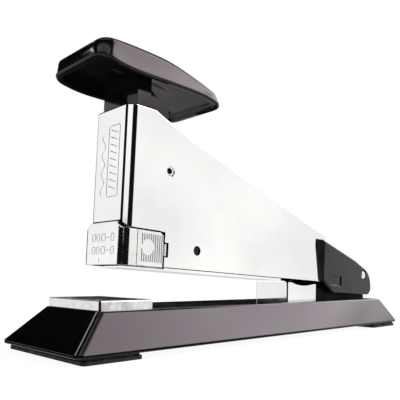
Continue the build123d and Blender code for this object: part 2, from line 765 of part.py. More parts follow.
# Drawer channel that holds the staples. Its floor is two ledges, so that the blade can pass between
# them, and its sides run past the blade to the cap's front.
with BuildPart() as staple_channel:
    with BuildSketch(arm_plan(-0.6)):
        with Locations((shelf_front, 0)):
            Rectangle(magazine_rear - shelf_front, 2 * channel_half_width, align=(Align.MIN, Align.CENTER))
    extrude(amount=0.6)
    with BuildSketch(arm_plan(-0.6)):
        for side_sign in (-1, 1):
            with Locations((cap_front + cap_sheet, side_sign * (channel_half_width + channel_inner) / 2)):
                Rectangle(
                    magazine_rear - cap_front - cap_sheet, channel_half_width - channel_inner,
                    align=(Align.MIN, Align.CENTER),
                )
        with Locations((magazine_rear - 0.3, 0)):
            Rectangle(0.6, 2 * channel_half_width)
    extrude(amount=8.6)
    with BuildSketch(arm_plan(-0.6)):
        with Locations((shelf_front, 0)):
            Rectangle(magazine_rear - 5, 2 * blade_half_width + 0.2, align=(Align.MIN, Align.CENTER))
    extrude(amount=0.6, mode=Mode.SUBTRACT)
staple_channel.part.label = "staple_channel"
export_step(staple_channel.part, "parts/staple_channel.step")

# A stick of glued staples.
with BuildPart() as staple_strip:
    with BuildSketch(arm_section(strip_start)):
        Rectangle(2 * staple_half_width, staple_leg, align=(Align.CENTER, Align.MIN))
        Rectangle(2 * staple_half_width - 1, staple_leg - 0.5, align=(Align.CENTER, Align.MIN),
                  mode=Mode.SUBTRACT)
    extrude(amount=strip_end - strip_start)
staple_strip.part.label = "staple_strip"
export_step(staple_strip.part, "parts/staple_strip.step")

# Follower behind the staples, bored for its spring.
with BuildPart() as pusher:
    with BuildSketch(arm_section(strip_end + 0.2)):
        with Locations((0, 0.15)):
            Rectangle(2 * guide_half_width, 7.0, align=(Align.CENTER, Align.MIN))
    extrude(amount=pusher_end - strip_end - 0.2)
    with BuildSketch(arm_section(pusher_end - 2.5)):
        with Locations((0, spring_w)):
            Circle(2.9)
    extrude(amount=5, mode=Mode.SUBTRACT)
pusher.part.label = "pusher"
export_step(pusher.part, "parts/pusher.step")

# Spring between the pusher's bore and the channel's rear end.
pusher_start = head_corner + rearward * (pusher_end - 2.1) + upward * spring_w
coil(pusher_start, rearward, 2.2, 0.3, magazine_rear + 1.1 - pusher_end, 14, "pusher_spring")

# Spring that holds the arm up, between the housing's floor and the seat's underside.
lift_start = Vector(29.0, 0, base_top + housing_sheet + 0.55)
coil(lift_start, Vector(0, 0, 1), 4.0, 0.5, lift_spring_length, 6, "lift_spring")
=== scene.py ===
"""A desk stapler's looks: materials, detailed pieces, floor, studio and camera round the CAD frame."""
import json
import math

import bmesh
import bpy
from mathutils import Matrix, Vector


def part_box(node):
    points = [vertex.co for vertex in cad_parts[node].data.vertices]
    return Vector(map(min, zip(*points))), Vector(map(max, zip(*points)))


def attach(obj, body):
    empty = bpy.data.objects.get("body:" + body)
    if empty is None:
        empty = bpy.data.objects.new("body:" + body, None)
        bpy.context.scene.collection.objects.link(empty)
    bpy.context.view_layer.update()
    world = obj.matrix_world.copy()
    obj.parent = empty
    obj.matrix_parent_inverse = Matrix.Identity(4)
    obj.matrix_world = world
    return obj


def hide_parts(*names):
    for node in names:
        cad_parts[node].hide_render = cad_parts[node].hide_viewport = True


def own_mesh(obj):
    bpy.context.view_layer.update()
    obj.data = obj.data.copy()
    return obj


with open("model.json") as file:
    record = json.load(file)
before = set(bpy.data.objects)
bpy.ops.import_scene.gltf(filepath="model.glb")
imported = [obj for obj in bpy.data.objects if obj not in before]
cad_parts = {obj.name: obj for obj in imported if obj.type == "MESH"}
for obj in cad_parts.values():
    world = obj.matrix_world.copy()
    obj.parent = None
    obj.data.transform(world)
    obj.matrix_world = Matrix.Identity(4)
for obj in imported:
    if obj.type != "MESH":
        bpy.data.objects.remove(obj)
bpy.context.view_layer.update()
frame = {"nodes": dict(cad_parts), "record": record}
scene = bpy.context.scene
nodes = frame["nodes"]
MM = 0.001

# The arm's own directions: u to the rear along the head's lower edge, w up the head.
ARM_TILT = math.radians(2.6)
REARWARD = Vector((math.cos(ARM_TILT), 0, -math.sin(ARM_TILT)))
UPWARD = Vector((math.sin(ARM_TILT), 0, math.cos(ARM_TILT)))
HEAD_CORNER = Vector((-75.7, 0, 29.1)) * MM
ROOF_SLOPE = 0.2653


def arm_point(u, y, w):
    """A point on the arm from its own u, y and w in millimetres."""
    return HEAD_CORNER + (REARWARD * u + UPWARD * w + Vector((0, y, 0))) * MM


# ---------------------------------------------------------------- materials
def add_node(tree, kind, inputs=(), **settings):
    """A shader node with its settings, and its inputs given as a value or a socket to link."""
    node = tree.nodes.new(kind)
    for key, value in settings.items():
        setattr(node, key, value)
    for key, value in dict(inputs).items():
        socket = node.inputs[key]
        if isinstance(value, bpy.types.NodeSocket):
            tree.links.new(value, socket)
        else:
            socket.default_value = value
    return node


def noise(tree, coords, scale, stretch=(1, 1, 1), detail=3.0):
    """Noise over the object's own coordinates, stretched along chosen axes. Scale is per metre."""
    mapped = add_node(tree, "ShaderNodeMapping", {"Vector": coords, "Scale": stretch})
    return add_node(
        tree, "ShaderNodeTexNoise", {"Vector": mapped.outputs[0], "Scale": scale, "Detail": detail}
    ).outputs[0]


def mapped_range(tree, value, low, high, start=0.35, end=0.65):
    """The value's span from start to end carried over to low to high."""
    return add_node(
        tree, "ShaderNodeMapRange",
        {"Value": value, "From Min": start, "From Max": end, "To Min": low, "To Max": high},
    ).outputs[0]


def finish_of(name, color, metallic, rough, smudge=60, tone=0.12, bumps=(), edge=0.0, tint=None,
              specular=0.5):
    """A surface whose roughness drifts with smudges and whose colour and relief drift with grain.

    rough is (least, most). bumps are (scale per metre, height in metres, stretch). edge is the
    radius in metres that sharp edges are softened by.
    """
    made = bpy.data.materials.new(name)
    made.use_nodes = True
    tree = made.node_tree
    shader = tree.nodes["Principled BSDF"]
    coords = add_node(tree, "ShaderNodeTexCoord").outputs["Object"]
    shader.inputs["Metallic"].default_value = metallic
    shader.inputs["IOR"].default_value = 1.5
    shader.inputs["Specular IOR Level"].default_value = specular
    if tint:
        shader.inputs["Specular Tint"].default_value = (*tint, 1)
    cloudy = noise(tree, coords, smudge, detail=5.0)
    tree.links.new(mapped_range(tree, cloudy, *rough), shader.inputs["Roughness"])
    drift = mapped_range(tree, noise(tree, coords, smudge * 3), 1 - tone, 1 + tone)
    toned = add_node(
        tree, "ShaderNodeVectorMath", {0: (*color,), 1: drift}, operation="MULTIPLY"
    )
    tree.links.new(toned.outputs[0], shader.inputs["Base Color"])
    normal = None
    if edge:
        normal = add_node(tree, "ShaderNodeBevel", {"Radius": edge}, samples=4).outputs[0]
    for scale, height, stretch in bumps:
        inputs = {
            "Height": noise(tree, coords, scale, stretch), "Strength": 1.0, "Distance": height,
        }
        if normal:
            inputs["Normal"] = normal
        normal = add_node(tree, "ShaderNodeBump", inputs).outputs[0]
    if normal:
        tree.links.new(normal, shader.inputs["Normal"])
    return made


def bright_plating(name):
    """Bright plating, very slightly wavy and brushed along the object."""
    return finish_of(
        name, (0.93, 0.93, 0.92), 1.0, (0.035, 0.1), smudge=45, tone=0.012,
        bumps=[(26, 0.000012, (1, 1, 1)), (900, 0.0000012, (0.05, 1, 1))],
    )


chrome = bright_plating("bright_plating")
chrome_trim = finish_of(
    "bright_plating_trim", (0.9, 0.9, 0.89), 1.0, (0.06, 0.16), smudge=140, tone=0.02,
    bumps=[(500, 0.0000035, (0.2, 1, 1))], edge=0.0002,
)
lacquer = finish_of(
    "black_lacquer", (0.004, 0.0035, 0.004), 0.0, (0.06, 0.12), smudge=55, tone=0.3,
    bumps=[(1300, 0.0000012, (1, 1, 1)), (160, 0.000003, (1, 1, 1))], edge=0.0003,
    tint=(1.0, 0.9, 0.96),
)
moulding = finish_of(
    "black_moulding", (0.005, 0.0042, 0.005), 0.0, (0.08, 0.15), smudge=70, tone=0.3,
    bumps=[(2400, 0.000001, (1, 1, 1)), (120, 0.000006, (1, 1, 1))], edge=0.0003,
    tint=(1.0, 0.9, 0.96),
)
cover_moulding = finish_of(
    "black_cover", (0.006, 0.005, 0.006), 0.0, (0.14, 0.24), smudge=70, tone=0.3,
    bumps=[(2400, 0.000003, (1, 1, 1)), (120, 0.000004, (1, 1, 1))], edge=0.0003,
    tint=(1.0, 0.88, 1.0), specular=0.34,
)
# Painted shade: a near-black, barely reflecting copy of the black finish, for the shade the hinge
# bracket sits in.
shaded_black = finish_of(
    "black_painted_shade", (0.003, 0.003, 0.0032), 0.0, (0.45, 0.6), smudge=140, tone=0.3,
    bumps=[(1800, 0.000006, (1, 1, 1))], edge=0.0002, specular=0.06,
)
# Painted shade: a darker copy of the moulding that barely reflects, for the pad's cavity and lip where
# they sit in shade.
shaded_moulding = finish_of(
    "black_moulding_painted_shade", (0.0022, 0.002, 0.0022), 0.0, (0.75, 0.95), smudge=140, tone=0.3,
    bumps=[(1500, 0.00002, (1, 1, 1))], specular=0.08,
)
rubber = finish_of(
    "black_rubber", (0.012, 0.012, 0.013), 0.0, (0.55, 0.8), smudge=300, tone=0.35,
    bumps=[(2600, 0.00002, (1, 1, 1))], edge=0.0002,
)
steel = finish_of(
    "zinc_plated_steel", (0.6, 0.6, 0.61), 1.0, (0.22, 0.42), smudge=220, tone=0.12,
    bumps=[(1600, 0.000006, (0.06, 1, 1))], edge=0.00015,
)
spring_steel = finish_of(
    "drawn_spring_wire", (0.34, 0.34, 0.36), 1.0, (0.2, 0.38), smudge=400, tone=0.2,
    bumps=[(2200, 0.000004, (1, 1, 1))],
)
black_oxide = finish_of(
    "blackened_steel", (0.012, 0.012, 0.013), 0.6, (0.3, 0.5), smudge=500, tone=0.3,
    bumps=[(2600, 0.000004, (1, 1, 1))],
)
staple_wire = finish_of(
    "galvanised_wire", (0.66, 0.66, 0.67), 1.0, (0.18, 0.34), smudge=500, tone=0.15,
    bumps=[(1800, 0.000003, (1, 0.1, 1))],
)
nylon = finish_of(
    "dark_nylon", (0.05, 0.05, 0.054), 0.0, (0.42, 0.6), smudge=300, tone=0.2,
    bumps=[(2400, 0.000006, (1, 1, 1))], edge=0.0003,
)

# The anvil tray: bright sides and rim, and a duller worn top inside the rim.
anvil_finish = finish_of(
    "plated_anvil", (0.85, 0.85, 0.84), 1.0, (0.08, 0.2), smudge=250, tone=0.05,
    bumps=[(900, 0.000005, (1, 0.08, 1))],
)


TRAY_RIM, TRAY_RIM_BLEND = 0.95, 0.15
TRAY_SIDE, TRAY_SIDE_BLEND = 0.475, 0.075


def dull_the_anvil_top():
    """Inside the tray's rim the top is a dark worn coating instead of bright plating."""
    tree = anvil_finish.node_tree
    shader = tree.nodes["Principled BSDF"]
    low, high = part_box("anvil_plate")
    centre, half = (low + high) / 2, (high - low) / 2
    coords = add_node(tree, "ShaderNodeTexCoord").outputs["Object"]
    apart = add_node(tree, "ShaderNodeVectorMath", {0: coords, 1: centre}, operation="SUBTRACT")
    size = add_node(tree, "ShaderNodeVectorMath", {0: apart.outputs[0]}, operation="ABSOLUTE")
    sides = add_node(tree, "ShaderNodeSeparateXYZ", {0: size.outputs[0]}).outputs
    outer, inner = (TRAY_RIM - TRAY_RIM_BLEND) * MM, (TRAY_RIM + TRAY_RIM_BLEND) * MM
    edge_x = mapped_range(tree, sides[0], 1, 0, half.x - inner, half.x - outer)
    edge_y = mapped_range(tree, sides[1], 1, 0, half.y - inner, half.y - outer)
    top = mapped_range(
        tree, sides[2], 0, 1, half.z - (TRAY_SIDE + TRAY_SIDE_BLEND) * MM,
        half.z - (TRAY_SIDE - TRAY_SIDE_BLEND) * MM,
    )
    inside = add_node(tree, "ShaderNodeMath", {0: edge_x, 1: edge_y}, operation="MULTIPLY")
    inside = add_node(tree, "ShaderNodeMath", {0: inside.outputs[0], 1: top}, operation="MULTIPLY")
    worn = mapped_range(tree, noise(tree, coords, 260, detail=4.0), 0.012, 0.12, 0.45, 0.7)
    mixed = add_node(tree, "ShaderNodeMix", {0: inside.outputs[0]}, data_type="RGBA")
    bright = shader.inputs["Base Color"].links[0].from_socket
    tree.links.new(bright, mixed.inputs[6])
    tree.links.new(worn, mixed.inputs[7])
    tree.links.new(mixed.outputs[2], shader.inputs["Base Color"])
    plated = mapped_range(tree, inside.outputs[0], 1.0, 0.0, 0.0, 1.0)
    tree.links.new(plated, shader.inputs["Metallic"])
    shine = mapped_range(tree, inside.outputs[0], 0.5, 0.12, 0.0, 1.0)
    tree.links.new(shine, shader.inputs["Specular IOR Level"])
    smooth = shader.inputs["Roughness"].links[0].from_socket
    rougher = add_node(tree, "ShaderNodeMath", {0: inside.outputs[0], 1: 0.5}, operation="MULTIPLY")
    total = add_node(tree, "ShaderNodeMath", {0: rougher.outputs[0], 1: smooth}, operation="ADD")
    tree.links.new(total.outputs[0], shader.inputs["Roughness"])


dull_the_anvil_top()

# The folded shell: bright outside, with painted shade on its cut edges and inside, which are coloured
# near-black and made rougher.
shell_finish = bright_plating("bright_plating_shell")

# Just inside the shell's outer faces, in millimetres on the arm's own directions: its cheeks,
# its front, the bevel between them and its sloping roof.
SHELL_SIDE, SHELL_FRONT, SHELL_BEVEL, SHELL_ROOF = 10.3, 0.5, 7.7, 54.4
PIN_SEAT_U, PIN_SEAT_W, PIN_SEAT_RADIUS = 18.8, 33.7, 2.3


def paint_shade_on_shell_edges():
    """Painted shade: cut edges and inner faces of the folded sheet are coloured near-black and made
    rougher, for their shade and dark reflections.
    """
    tree = shell_finish.node_tree
    shader = tree.nodes["Principled BSDF"]
    coords = add_node(tree, "ShaderNodeTexCoord").outputs["Object"]
    apart = add_node(tree, "ShaderNodeVectorMath", {0: coords, 1: HEAD_CORNER},
                     operation="SUBTRACT").outputs[0]

    def along(direction):
        return add_node(tree, "ShaderNodeVectorMath", {0: apart, 1: direction},
                        operation="DOT_PRODUCT").outputs["Value"]

    u = along(REARWARD)
    across = add_node(tree, "ShaderNodeMath", {0: along(Vector((0, 1, 0)))},
                      operation="ABSOLUTE").outputs[0]
    corner = add_node(tree, "ShaderNodeMath", {0: across, 1: u}, operation="SUBTRACT").outputs[0]
    roof = along(UPWARD + REARWARD * ROOF_SLOPE)
    mask = None
    for value, limit, sign in (
        (across, SHELL_SIDE, 1), (u, SHELL_FRONT, -1), (corner, SHELL_BEVEL, 1),
        (roof, SHELL_ROOF, 1),
    ):
        start, end = (limit + 0.05 * sign) * MM, (limit - 0.05 * sign) * MM
        part = mapped_range(tree, value, 0, 1, start, end)
        mask = part if mask is None else add_node(
            tree, "ShaderNodeMath", {0: mask, 1: part}, operation="MULTIPLY").outputs[0]
    place = add_node(tree, "ShaderNodeCombineXYZ", {0: u, 1: along(UPWARD)}).outputs[0]
    from_pin = add_node(
        tree, "ShaderNodeVectorMath", {0: place, 1: (PIN_SEAT_U * MM, PIN_SEAT_W * MM, 0)},
        operation="DISTANCE",
    ).outputs["Value"]
    clear = mapped_range(
        tree, from_pin, 0, 1, (PIN_SEAT_RADIUS - 0.1) * MM, (PIN_SEAT_RADIUS + 0.1) * MM)
    mask = add_node(tree, "ShaderNodeMath", {0: mask, 1: clear}, operation="MULTIPLY").outputs[0]
    mixed = add_node(tree, "ShaderNodeMix", {0: mask}, data_type="RGBA")
    tree.links.new(shader.inputs["Base Color"].links[0].from_socket, mixed.inputs[6])
    # Painted shade: the near-black colour of the edges and inner faces.
    painted_edge_shade = mapped_range(tree, noise(tree, coords, 700), 0.012, 0.03)
    tree.links.new(painted_edge_shade, mixed.inputs[7])
    tree.links.new(mixed.outputs[2], shader.inputs["Base Color"])
    smooth = shader.inputs["Roughness"].links[0].from_socket
    rougher = add_node(tree, "ShaderNodeMath", {0: mask, 1: 0.4}, operation="MULTIPLY")
    total = add_node(tree, "ShaderNodeMath", {0: rougher.outputs[0], 1: smooth}, operation="ADD")
    tree.links.new(total.outputs[0], shader.inputs["Roughness"])


paint_shade_on_shell_edges()

# The stop pin is a hollow rivet with a bright rim.
pin_finish = finish_of(
    "hollow_rivet", (0.85, 0.85, 0.84), 1.0, (0.1, 0.2), smudge=600, tone=0.05,
    bumps=[(1500, 0.000003, (1, 1, 1))],
)


PIN_BORE_U, PIN_BORE_W, PIN_BORE_RADIUS = 18.45, 33.85, 1.0


def paint_shade_in_pin_bore():
    """Painted shade: the middle of each end of the stop pin is coloured near-black for the shade
    inside its bore.
    """
    tree = pin_finish.node_tree
    shader = tree.nodes["Principled BSDF"]
    coords = add_node(tree, "ShaderNodeTexCoord").outputs["Object"]
    flat = add_node(tree, "ShaderNodeVectorMath", {0: coords, 1: (1, 0, 1)}, operation="MULTIPLY")
    centre = arm_point(PIN_BORE_U, 0, PIN_BORE_W)
    apart = add_node(tree, "ShaderNodeVectorMath", {0: flat.outputs[0], 1: centre},
                     operation="DISTANCE").outputs["Value"]
    rim = mapped_range(
        tree, apart, 0, 1, PIN_BORE_RADIUS * MM, (PIN_BORE_RADIUS + 0.15) * MM)
    # Painted shade: near-black inside the bright rim.
    mixed = add_node(tree, "ShaderNodeMix", {0: rim, 6: (0.004, 0.004, 0.004, 1)},
                     data_type="RGBA")
    tree.links.new(shader.inputs["Base Color"].links[0].from_socket, mixed.inputs[7])
    tree.links.new(mixed.outputs[2], shader.inputs["Base Color"])


paint_shade_in_pin_bore()

SLOT_FINISH = {
    "black_lacquer": lacquer, "rubber": rubber, "chrome": chrome, "steel": steel,
    "spring_steel": spring_steel, "black_oxide": black_oxide, "black_plastic": moulding,
    "staple_wire": staple_wire, "pusher_plastic": nylon,
}
NODE_FINISH = {
    "anvil_plate": anvil_finish, "front_cap": chrome_trim, "latch_left": chrome_trim,
    "latch_right": chrome_trim, "spring_housing": chrome, "pivot_pin": chrome_trim,
    "magazine_track": chrome, "stop_pin": pin_finish, "body_shell": shell_finish,
    "rear_cover": cover_moulding, "hinge_bracket": shaded_black, "spring_shelf": black_oxide,
}
for row in frame["record"]["subparts"]:
    mesh = nodes[row["node"]].data
    mesh.materials.clear()
    mesh.materials.append(NODE_FINISH.get(row["node"], SLOT_FINISH[row["material_slot"]]))


# ---------------------------------------------------------------- mesh helpers
def new_piece(name, points, faces, finish, body, stands_for=(), smooth=True):
    """A mesh piece on a CAD body."""
    mesh = bpy.data.meshes.new(name)
    mesh.from_pydata([tuple(p) for p in points], [], faces)
    made = bmesh.new()
    made.from_mesh(mesh)
    bmesh.ops.recalc_face_normals(made, faces=made.faces)
    made.to_mesh(mesh)
    made.free()
    for polygon in mesh.polygons:
        polygon.use_smooth = smooth
    mesh.materials.append(finish)
    piece = bpy.data.objects.new(name, mesh)
    scene.collection.objects.link(piece)
    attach(piece, body)
    if stands_for:
        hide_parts(*stands_for)
    return piece


def ring_faces(ring_count, size):
    """Quads between consecutive closed rings of the same size."""
    return [
        (r * size + k, r * size + (k + 1) % size, (r + 1) * size + (k + 1) % size,
         (r + 1) * size + k)
        for r in range(ring_count - 1) for k in range(size)
    ]


def curve_through(table, x):
    """Smooth interpolation (Catmull-Rom) of a table of (x, value) with growing x."""
    if x <= table[0][0]:
        return table[0][1]
    if x >= table[-1][0]:
        return table[-1][1]
    k = max(i for i in range(len(table) - 1) if table[i][0] <= x)
    (x0, a), (x1, b) = table[k], table[k + 1]
    before = table[k - 1] if k else (2 * x0 - x1, 2 * a - b)
    after = table[k + 2] if k + 2 < len(table) else (2 * x1 - x0, 2 * b - a)
    slope0 = (b - before[1]) / (x1 - before[0]) * (x1 - x0)
    slope1 = (after[1] - a) / (after[0] - x0) * (x1 - x0)
    t = (x - x0) / (x1 - x0)
    return (
        (2 * t**3 - 3 * t**2 + 1) * a + (t**3 - 2 * t**2 + t) * slope0
        + (3 * t**2 - 2 * t**3) * b + (t**3 - t**2) * slope1
    )


# ---------------------------------------------------------------- handle
HANDLE_FRONT, HANDLE_REAR, HANDLE_HALF = -88.2, -33.4, 15.5
HANDLE_CORNER = 5.2
PAD_TOP = [
    (-88.2, 97.7), (-85.0, 98.3), (-78.0, 98.9), (-66.0, 98.95), (-58.0, 98.45), (-46.0, 96.1),
    (-39.0, 94.3), (-33.4, 92.9),
]
PAD_LOW = [
    (-88.2, 92.3), (-85.0, 91.3), (-76.0, 90.0), (-60.0, 90.1), (-44.0, 90.0), (-38.0, 89.0),
    (-33.4, 88.4),
]
PAD_CEILING = 95.4
PAD_THICKNESS = 2.6
PAD_EDGE = 2.2

# The foot of the pad's wall, from the cavity round to the outside: (inset, height) in millimetres.
PAD_FOOT = [
    (2.2, 1.4), (2.1, 0.45), (1.7, 0.12), (1.1, 0.0), (0.5, 0.08), (0.12, 0.35), (0.0, 0.75),
    (0.12, 1.3), (0.3, 1.75),
]
PAD_DRAFT = 0.85
PAD_CROWN = 0.005


def handle_ring(inset, height):
    """The pad's plan outline drawn in by inset, each point lifted to height(x)."""
    long_half = (HANDLE_REAR - HANDLE_FRONT) / 2 - inset
    wide_half = HANDLE_HALF - inset
    radius = min(max(HANDLE_CORNER - inset, 0.8), wide_half * 0.9)
    middle = (HANDLE_FRONT + HANDLE_REAR) / 2
    corners = [(1, 1, 0), (-1, 1, 90), (-1, -1, 180), (1, -1, 270)]
    outline = []
    for n, (sx, sy, start) in enumerate(corners):
        cx, cy = sx * (long_half - radius), sy * (wide_half - radius)
        for k in range(7):
            a = math.radians(start + 15 * k)
            outline.append((middle + cx + radius * math.cos(a), cy + radius * math.sin(a)))
        steps = 18 if n % 2 == 0 else 10
        nx, ny, next_start = corners[(n + 1) % 4]
        ex = middle + nx * (long_half - radius) + radius * math.cos(math.radians(next_start))
        ey = ny * (wide_half - radius) + radius * math.sin(math.radians(next_start))
        x, y = outline[-1]
        outline += [(x + (ex - x) * k / steps, y + (ey - y) * k / steps) for k in range(1, steps)]
    return [Vector((x, y, height(x))) * MM for x, y in outline]


def pad_edge(x):
    """Radius of the pad's upper edge: small at the front, and never more than the pad is thick."""
    return min(PAD_EDGE - 0.9 + 0.9 * min(max((x - HANDLE_FRONT) / 12, 0), 1),
               0.62 * (curve_through(PAD_TOP, x) - curve_through(PAD_LOW, x)))


def build_handle():
    """The palm pad: drafted sides over a fine foot, rounded upper edge, hollow below."""
    def ceiling(drop):
        return lambda x: min(
            curve_through(PAD_TOP, x) - PAD_THICKNESS, PAD_CEILING) - drop * pad_edge(x) / PAD_EDGE

    def foot(lift):
        return lambda x: curve_through(PAD_LOW, x) + lift * pad_edge(x) / PAD_EDGE

    def rounded(angle):
        return lambda x: curve_through(PAD_TOP, x) - pad_edge(x) * (1 - math.sin(angle))

    def crown(inset):
        return lambda x: curve_through(PAD_TOP, x) + PAD_CROWN * inset

    rings = [handle_ring(inset, ceiling(0.0)) for inset in (14.6, 12.0, 9.0, 6.5, 4.6, 3.6)]
    rings += [handle_ring(2.9, ceiling(0.25)), handle_ring(2.45, ceiling(0.9))]
    rings += [handle_ring(inset, foot(lift)) for inset, lift in PAD_FOOT]
    cavity_rings, lip_rings = 9, 12
    for angle in (math.radians(15 * k) for k in range(7)):
        inset = PAD_DRAFT + (PAD_EDGE - 0.1) * (1 - math.cos(angle))
        rings.append(handle_ring(inset, rounded(angle)))
    rings += [handle_ring(inset, crown(inset)) for inset in (3.8, 5.0, 7.0, 9.5, 12.0, 14.6)]
    size = len(rings[0])
    points = [p for ring in rings for p in ring]
    faces = ring_faces(len(rings), size)
    faces += [tuple(range(size)), tuple(range((len(rings) - 1) * size, len(rings) * size))]
    pad = new_piece(
        "palm_pad", points, faces, moulding, "plunger_assembly", ["handle_pad"]
    )
    # Painted shade: the cavity and lip in the front part, and the lip at the rear on the -Y side, take
    # the shaded copy of the moulding.
    pad.data.materials.append(shaded_moulding)
    front_part, rear_part, left_part = -62.0, -38.0, -3.0
    for index, polygon in enumerate(pad.data.polygons):
        x, y, _ = polygon.center / MM
        in_cavity = index < cavity_rings * size or index == (len(rings) - 1) * size
        in_lip = cavity_rings * size <= index < lip_rings * size
        rear_left = x > rear_part and y < left_part
        if (x < front_part and (in_cavity or in_lip)) or (in_lip and rear_left):
            polygon.material_index = 1


build_handle()


# ---------------------------------------------------------------- springs
def build_coil(name, start, axis, radius, wire, length, turns, body, node):
    """A compression spring with closed ends."""
    axis = Vector(axis).normalized()
    side = axis.orthogonal().normalized()
    across = axis.cross(side)
    steps, around = int(turns * 30), 10
    closed_turns = 0.9
    points = []
    for k in range(steps + 1):
        t = k / steps
        lead = closed_turns / turns
        flat = min(max((t - lead) / (1 - 2 * lead), 0), 1)
        a = 2 * math.pi * turns * t
        rise = wire * 2 * min(t, lead) / lead * 0.9 * 0.5
        rise += (length - wire * 1.8) * flat + wire * 0.9 * max(0, (t - 1 + lead) / lead)
        out = side * math.cos(a) + across * math.sin(a)
        centre = start + axis * rise + out * radius
        for m in range(around):
            b = 2 * math.pi * m / around
            points.append(centre + (out * math.cos(b) + axis * math.sin(b)) * wire)
    faces = ring_faces(steps + 1, around)
    faces += [tuple(range(around)), tuple(range(steps * around, (steps + 1) * around))]
    spring = new_piece(name, points, faces, spring_steel, body, [node])
    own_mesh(spring)
    return spring


lift_low, lift_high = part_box("lift_spring")
LIFT_X, LIFT_WIRE = 29.0 * MM, 0.5 * MM
build_coil(
    "lift_coil", Vector((LIFT_X, 0, lift_low.z + LIFT_WIRE)), (0, 0, 1), 4.0 * MM, LIFT_WIRE,
    lift_high.z - lift_low.z - 2 * LIFT_WIRE, 6.5, "base",
    "lift_spring",
)
build_coil(
    "return_coil", arm_point(5.9, 0, 14.35), UPWARD, 2.4 * MM, 0.4 * MM, 19.2 * MM, 9, "arm",
    "return_spring",
)
build_coil(
    "pusher_coil", arm_point(86.0, 0, 3.75), -REARWARD, 2.2 * MM, 0.3 * MM, 50.0 * MM, 17,
    "drawer", "pusher_spring",
)


# ---------------------------------------------------------------- staples
def build_staples():
    """A stick of glued staples: bent wires side by side with a fine groove between them."""
    count, half, leg, wire = 54, 6.45, 6.5, 0.5
    front, rear = 2.3, 31.3
    pitch = (rear - front) / count
    points, faces = [], []
    outline = [(-half, 0), (-half, leg - 0.35), (-half + 0.35, leg), (half - 0.35, leg),
               (half, leg - 0.35), (half, 0)]
    inner = [(-half + wire, 0), (-half + wire, leg - 0.6), (-half + wire + 0.1, leg - wire),
             (half - wire - 0.1, leg - wire), (half - wire, leg - 0.6), (half - wire, 0)]
    for n in range(count):
        u = front + pitch * (n + 0.5)
        sections = []
        for du, grow in ((-0.48, 0.09), (-0.36, 0.0), (0.36, 0.0), (0.48, 0.09)):
            first = len(points)
            for (y, w), (yi, wi) in zip(outline, inner):
                points.append(arm_point(u + du * pitch, y + (yi - y) * grow, w + (wi - w) * grow))
            for (y, w), (yi, wi) in zip(outline, inner):
                points.append(arm_point(u + du * pitch, yi + (y - yi) * grow, wi + (w - wi) * grow))
            sections.append(first)
        for a, b in zip(sections, sections[1:]):
            for k in range(5):
                faces.append((a + k, a + k + 1, b + k + 1, b + k))
                faces.append((a + 6 + k + 1, a + 6 + k, b + 6 + k, b + 6 + k + 1))
            faces.append((a, b, b + 6, a + 6))
            faces.append((a + 5, a + 11, b + 11, b + 5))
        for first in (sections[0], sections[-1]):
            for k in range(5):
                faces.append((first + k, first + k + 1, first + 7 + k, first + 6 + k))
    new_piece("staple_wires", points, faces, staple_wire, "drawer",
              ["staple_strip"], smooth=False)


build_staples()


# ---------------------------------------------------------------- plain embossing
def ridge(name, lines, body, radius):
    """Raised lines on a plated face, each a list of points, as one mesh."""
    points, faces = [], []
    around = 6
    for line in lines:
        first = len(points)
        for k, p in enumerate(line):
            ahead = line[min(k + 1, len(line) - 1)] - line[max(k - 1, 0)]
            ahead.normalize()
            out = -REARWARD
            across = ahead.cross(out).normalized()
            for m in range(around):
                b = 2 * math.pi * m / around
                points.append(p + (across * math.cos(b) * 1.2 + out * math.sin(b) * 0.7) * radius)
        size = len(line)
        faces += [tuple(first + i for i in face) for face in ring_faces(size, around)]
        faces += [
            tuple(first + i for i in range(around)),
            tuple(first + (size - 1) * around + i for i in range(around)),
        ]
    return new_piece(name, points, faces, chrome_trim, body)


def rounded_box(u, y_low, y_high, w_low, w_high, r):
    """A closed line round a rounded rectangle on the face at u."""
    line = []
    for y, w, start in (
        (y_low + r, w_high - r, 90), (y_low + r, w_low + r, 180), (y_high - r, w_low + r, 270),
        (y_high - r, w_high - r, 0),
    ):
        for k in range(5):
            a = math.radians(start + 22.5 * k)
            line.append(arm_point(u, y + r * math.cos(a), w + r * math.sin(a)))
    return [*line, line[0]]


def build_embossing():
    """A slim frame with slanted bars and a gentle wave on the head, plain blank boxes on the cap."""
    head, cap = 0.0, -1.2
    bars = [
        [arm_point(head, -4.1, 24.9 + 2.4 * k), arm_point(head, -0.3, 26.3 + 2.4 * k)]
        for k in range(9)
    ]
    wave = [
        arm_point(head, 3.7 + 0.9 * math.sin(k * 0.24), 23.0 + 0.24 * k) for k in range(88)
    ]
    frame_line = rounded_box(head, -5.3, 0.9, 22.6, 46.8, 0.9)
    ridge("head_embossing", [frame_line, *bars, wave], "arm", 0.00011)
    marks = [[arm_point(cap, 1.6, 0.3), arm_point(cap, 1.6, 1.7)]]
    for w in (8.7, 4.4):
        for y, width in ((5.0, 1.7), (2.5, 1.7), (-0.6, 2.2), (-5.8, 1.7)):
            marks.append(rounded_box(cap, y - width / 2, y + width / 2, w - 1.2, w + 1.2, 0.5))
        marks.append([arm_point(cap, -2.7, w), arm_point(cap, -4.1, w)])
    ridge("cap_embossing", marks, "drawer", 0.0001)


build_embossing()


def build_sills():
    """The bevelled lower edge of the recess in each of the cover's cheeks."""
    outer, inner, sill_low, sill_high = 11.99, 11.5, -1.6, -1.0
    points, faces = [], []
    for side in (-1, 1):
        first = len(points)
        for u in (126.5, 136.5):
            points += [arm_point(u, side * outer, sill_low), arm_point(u, side * inner, sill_low),
                       arm_point(u, side * inner, sill_high)]
        faces += [(first, first + 1, first + 2), (first + 3, first + 5, first + 4)]
        for a, b in ((0, 1), (1, 2), (2, 0)):
            faces.append((first + a, first + b, first + 3 + b, first + 3 + a))
    new_piece("cover_sills", points, faces, cover_moulding, "arm",
              smooth=False)


build_sills()


